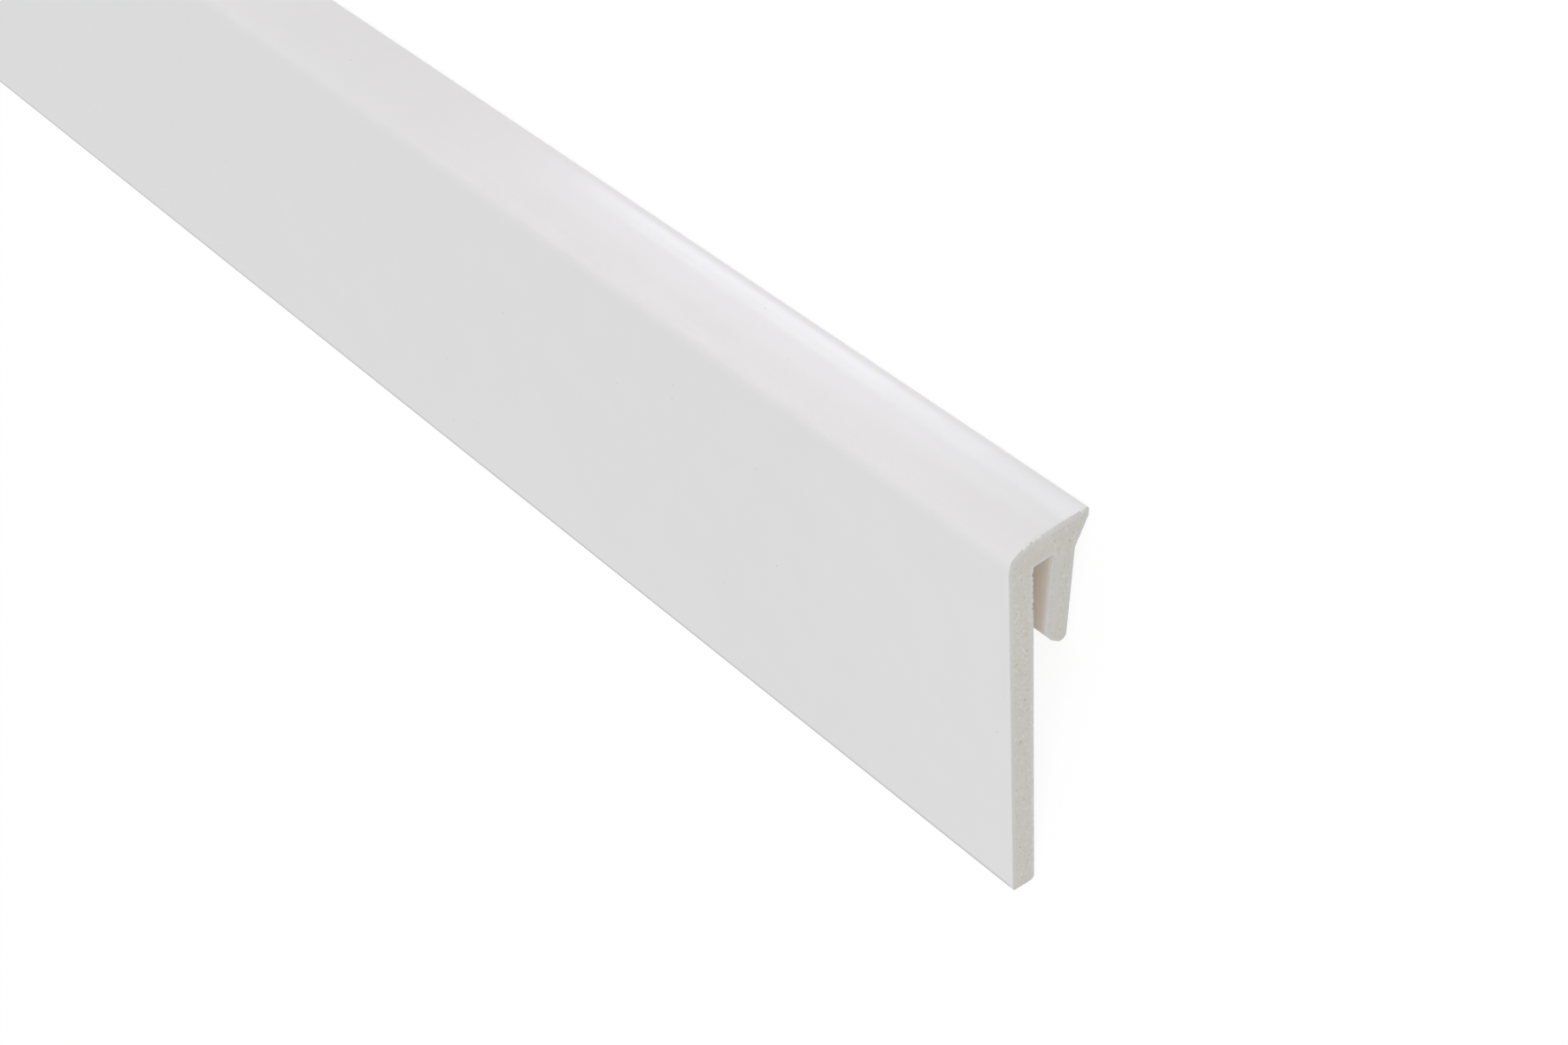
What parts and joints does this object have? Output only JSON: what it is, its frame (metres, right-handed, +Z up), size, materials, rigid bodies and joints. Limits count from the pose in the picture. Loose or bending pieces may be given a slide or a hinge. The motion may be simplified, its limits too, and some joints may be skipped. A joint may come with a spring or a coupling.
{
  "type": "skirting board",
  "caption": "Long white skirting board with a flat face, rounded top, flared wall lip and a clip leg that hangs behind the face to hook over a wall clip.",
  "frame": {"origin": "centre of the bounding box at floor level, the board lying on its back", "axes": "+X along the length towards the sawn end the picture shows, +Y across the board towards its top edge and wall lip, +Z up, out of the visible face"},
  "size_m": [2.5, 0.0614, 0.0131],
  "materials": {
    "foamed_pvc": "satin"
  },
  "bodies": {
    "root": {"skirting_board": "foamed_pvc"}
  },
  "joints": []
}
